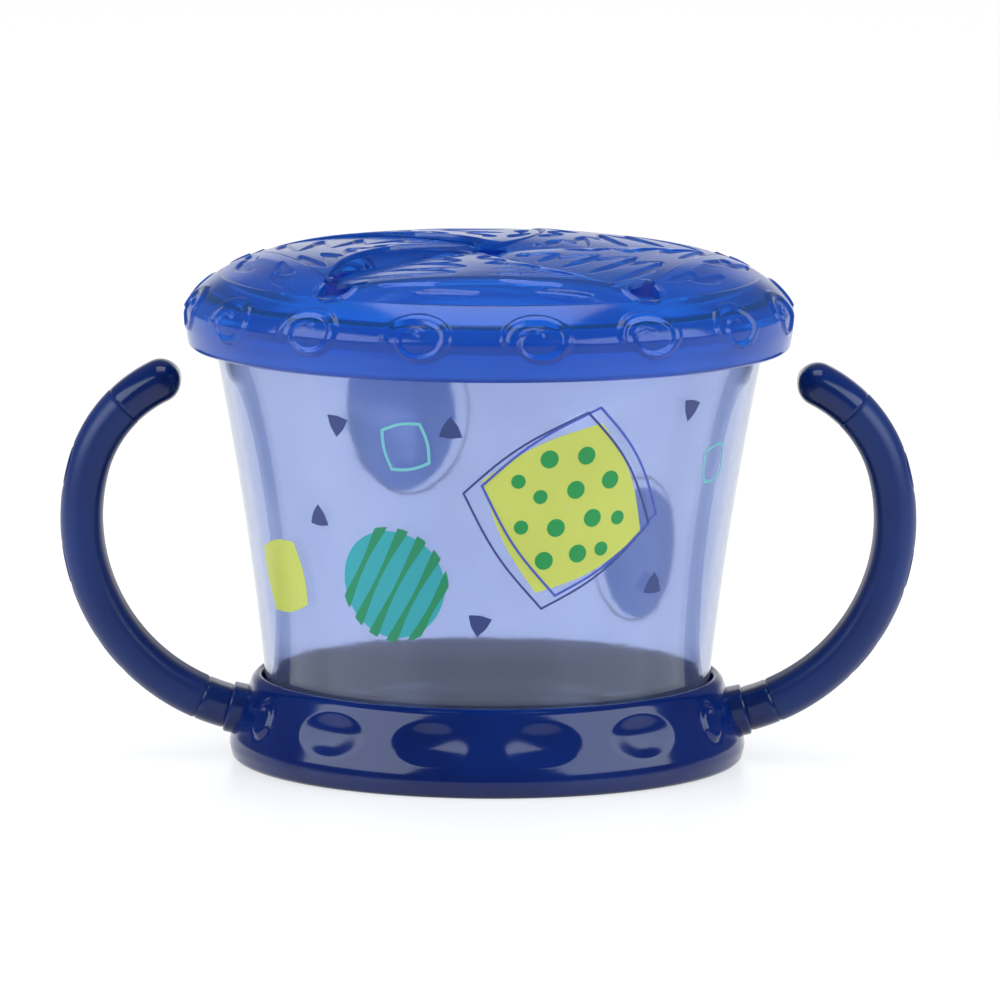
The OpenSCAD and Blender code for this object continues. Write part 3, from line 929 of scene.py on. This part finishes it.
def sweep(name, rings, side):
    """Closed solid through rings of points, capped at both ends."""
    pts = np.array(rings)
    pts[:, :, 0] *= side
    count, n = pts.shape[:2]
    verts = np.vstack([pts.reshape(-1, 3), pts[0].mean(0)[None], pts[-1].mean(0)[None]])
    faces = grid_faces(count, n, False, True)
    for j in range(n):
        k = (j + 1) % n
        faces.append((count * n, k, j))
        faces.append((count * n + 1, (count - 1) * n + j, (count - 1) * n + k))
    obj = new_mesh(name, verts, faces)
    outward(obj)
    obj.data.set_sharp_from_angle(angle=math.radians(50))
    return obj


def ring_at(heading, margin, count=64, ahead=0.0, squeeze=1.0):
    centre, n = handle_path(heading)
    tangent = np.array([-n[1], n[0]])
    out, depth = section(count, margin)
    straight = HANDLE_DEPTH / 2 - HANDLE_W / 2
    if squeeze < 1:
        out = out * squeeze
        depth = depth * (straight + HANDLE_W / 2 * squeeze) / (HANDLE_DEPTH / 2)
    x = centre[0] + ahead * tangent[0] + out * n[0]
    z = centre[1] + ahead * tangent[1] + out * n[1]
    return np.stack([x, depth, z], 1)


def make_handle(name, side):
    collar = headings(ROOT_HEADING - COLLAR_BACK, ROOT_HEADING + COLLAR_AHEAD, 0.3)
    root = headings(ROOT_HEADING + PAST_COLLAR, GRIP_LOW - BESIDE_SLEEVE, 0.5)
    core = headings(GRIP_LOW + UNDER_SLEEVE, GRIP_HIGH - UNDER_SLEEVE, 0.8)
    tip = headings(GRIP_HIGH + BESIDE_SLEEVE, TIP_HEADING, 0.5)
    rings = [ring_at(h, -COLLAR_OUT) for h in collar]
    rings += [ring_at(ROOT_HEADING + h, margin) for h, margin in COLLAR_EDGE]
    rings += [ring_at(h, 0) for h in root]
    rings += [ring_at(GRIP_LOW + h, margin) for h, margin in SLEEVE_STEP]
    rings += [ring_at(h, SLEEVE) for h in core]
    rings += [ring_at(GRIP_HIGH - h, margin) for h, margin in reversed(SLEEVE_STEP)]
    rings += [ring_at(h, 0) for h in tip]
    half = HANDLE_W / 2
    for t in np.linspace(0, math.pi / 2, 12)[1:-1]:
        rings.append(ring_at(TIP_HEADING, 0, ahead=half * math.sin(t), squeeze=math.cos(t)))
    obj = sweep("arm_" + name, rings, side)
    if "arm_gloss" not in bpy.data.materials:
        moulded("arm_gloss", (0, 28, 86), (4, 38, 102), (0.12, 0.2))
        less_mirror("arm_gloss", 0.36)
    obj.data.materials.append(bpy.data.materials["arm_gloss"])
    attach(obj, "base_unit")
    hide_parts("handle_" + name)


def grip_relief(path_s, depth, out):
    """Shallow swirls sunk in the outer side of the sleeve."""
    relief = np.zeros(path_s.shape)
    for centre in GRIP_SWIRLS:
        d = polyline_distance(path_s - centre, depth, GRIP_SWIRL_SCALE * swirl_line())
        relief -= GRIP_SWIRL_DEPTH * np.clip(1 - (d / GRIP_SWIRL_HALF) ** 2, 0, 1)
    return relief * smooth_step((out + 0.5) / 1.5)


def make_grip(name, side):
    count = GRIP_POINTS
    heads = headings(GRIP_LOW + 0.002, GRIP_HIGH - 0.002, 0.35)
    rings = []
    out, depth = section(count, 0)
    for i, h in enumerate(heads):
        centre, n = handle_path(h)
        s = np.full(count, (h - GRIP_LOW) * MEAN_BEND_R)
        swell = grip_relief(s, depth, out)
        if i in (0, len(heads) - 1):
            swell = swell - GRIP_END_SUNK
        length = np.hypot(out, depth)
        o = out * (1 + swell / length)
        d = depth * (1 + swell / length)
        rings.append(np.stack([centre[0] + o * n[0], d, centre[1] + o * n[1]], 1))
    inner = [ring_at(h, SLEEVE - 0.02, count) for h in headings(GRIP_HIGH - 0.002, GRIP_LOW + 0.002, 1.0)]
    pts = np.array(rings + inner)
    pts[:, :, 0] *= side
    obj = new_mesh("sleeve_" + name, pts.reshape(-1, 3), grid_faces(len(pts), count, True, True))
    outward(obj)
    obj.data.set_sharp_from_angle(angle=math.radians(50))
    if "sleeve_satin" not in bpy.data.materials:
        moulded("sleeve_satin", (0, 34, 98), (4, 42, 108), (0.34, 0.42), bump_size=0.00004)
        less_mirror("sleeve_satin", 0.4)
    obj.data.materials.append(bpy.data.materials["sleeve_satin"])
    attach(obj, "base_unit")
    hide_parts("grip_" + name)


# Stage


def seen_ray(nodes, links, kinds):
    """1 for a ray of one of the given kinds, 0 for any other."""
    path = nodes.new("ShaderNodeLightPath")
    last = path.outputs[kinds[0]]
    for kind in kinds[1:]:
        either = nodes.new("ShaderNodeMath")
        either.operation = "MAXIMUM"
        links.new(last, either.inputs[0])
        links.new(path.outputs[kind], either.inputs[1])
        last = either.outputs[0]
    return last


def make_floor():
    mesh = bpy.data.meshes.new("floor")
    corners = [(-FLOOR, -FLOOR, 0), (FLOOR, -FLOOR, 0), (FLOOR, FLOOR, 0), (-FLOOR, FLOOR, 0)]
    mesh.from_pydata(corners, [], [(0, 1, 2, 3)])
    floor = bpy.data.objects.new("floor", mesh)
    bpy.context.scene.collection.objects.link(floor)
    mat, nodes, links, shader = material("floor_white")
    shader.inputs["Base Color"].default_value = (FLOOR_GREY, FLOOR_GREY, FLOOR_GREY, 1)
    shader.inputs["Roughness"].default_value = FLOOR_ROUGH
    shader.inputs["Specular IOR Level"].default_value = FLOOR_MIRROR
    level = nodes.new("ShaderNodeMath")
    level.operation = "MULTIPLY"
    level.inputs[1].default_value = FLOOR_GLOW
    kinds = ("Is Camera Ray", "Is Glossy Ray", "Is Transmission Ray")
    links.new(seen_ray(nodes, links, kinds), level.inputs[0])
    shader.inputs["Emission Color"].default_value = (1, 1, 1, 1)
    links.new(level.outputs[0], shader.inputs["Emission Strength"])
    mesh.materials.append(mat)


def make_world():
    """A studio: even light, white where seen, and in reflections a white wall behind and darker elsewhere."""
    world = bpy.data.worlds.new("studio")
    world.use_nodes = True
    bpy.context.scene.world = world
    nodes, links = world.node_tree.nodes, world.node_tree.links
    place = nodes.new("ShaderNodeTexCoord")
    towards = nodes.new("ShaderNodeVectorMath")
    towards.operation = "DOT_PRODUCT"
    towards.inputs[1].default_value = WALL_TOWARDS
    links.new(place.outputs["Generated"], towards.inputs[0])
    shade = nodes.new("ShaderNodeMapRange")
    shade.inputs["From Min"].default_value = WALL_EDGE[0]
    shade.inputs["From Max"].default_value = WALL_EDGE[1]
    shade.inputs["To Min"].default_value = STUDIO_DARK
    shade.inputs["To Max"].default_value = WALL_LIGHT
    links.new(towards.outputs["Value"], shade.inputs["Value"])
    mirrored = nodes.new("ShaderNodeMix")
    mirrored.data_type = "FLOAT"
    mirrored.inputs["A"].default_value = WORLD_LIGHT
    links.new(shade.outputs["Result"], mirrored.inputs["B"])
    links.new(seen_ray(nodes, links, ("Is Glossy Ray",)), mirrored.inputs["Factor"])
    seen = nodes.new("ShaderNodeMix")
    seen.data_type = "FLOAT"
    seen.inputs["B"].default_value = 1.0
    links.new(mirrored.outputs["Result"], seen.inputs["A"])
    links.new(seen_ray(nodes, links, ("Is Camera Ray", "Is Transmission Ray")), seen.inputs["Factor"])
    back = nodes["Background"]
    links.new(seen.outputs["Result"], back.inputs["Strength"])
    back.inputs["Color"].default_value = (1, 1, 1, 1)


def area_light(name, place, size, watts, colour=(1, 1, 1)):
    data = bpy.data.lights.new(name, "AREA")
    data.energy = watts
    data.color = colour
    data.shape = "RECTANGLE"
    data.size, data.size_y = size
    lamp = bpy.data.objects.new(name, data)
    lamp.location = place
    lamp.rotation_euler = (Vector(LAMP_AIM) - Vector(place)).to_track_quat("-Z", "Y").to_euler()
    bpy.context.scene.collection.objects.link(lamp)


def make_lights():
    area_light("box_left", (-BOX_AWAY, *BOX_PLACE), BOX_SIZE, BOX_WATTS, BOX_COLOUR)
    area_light("box_right", (BOX_AWAY, *BOX_PLACE), BOX_SIZE, BOX_WATTS, BOX_COLOUR)
    area_light("top", TOP_PLACE, TOP_SIZE, TOP_WATTS)


make_camera()
make_floor()
make_world()
make_lights()
make_base()
make_cup()
make_prints()
make_lid()
for number, petal_name in enumerate(("front", "right", "back_right", "back_left", "left")):
    make_petal(number, petal_name)
for side_name, direction in (("left", -1), ("right", 1)):
    make_handle(side_name, direction)
    make_grip(side_name, direction)
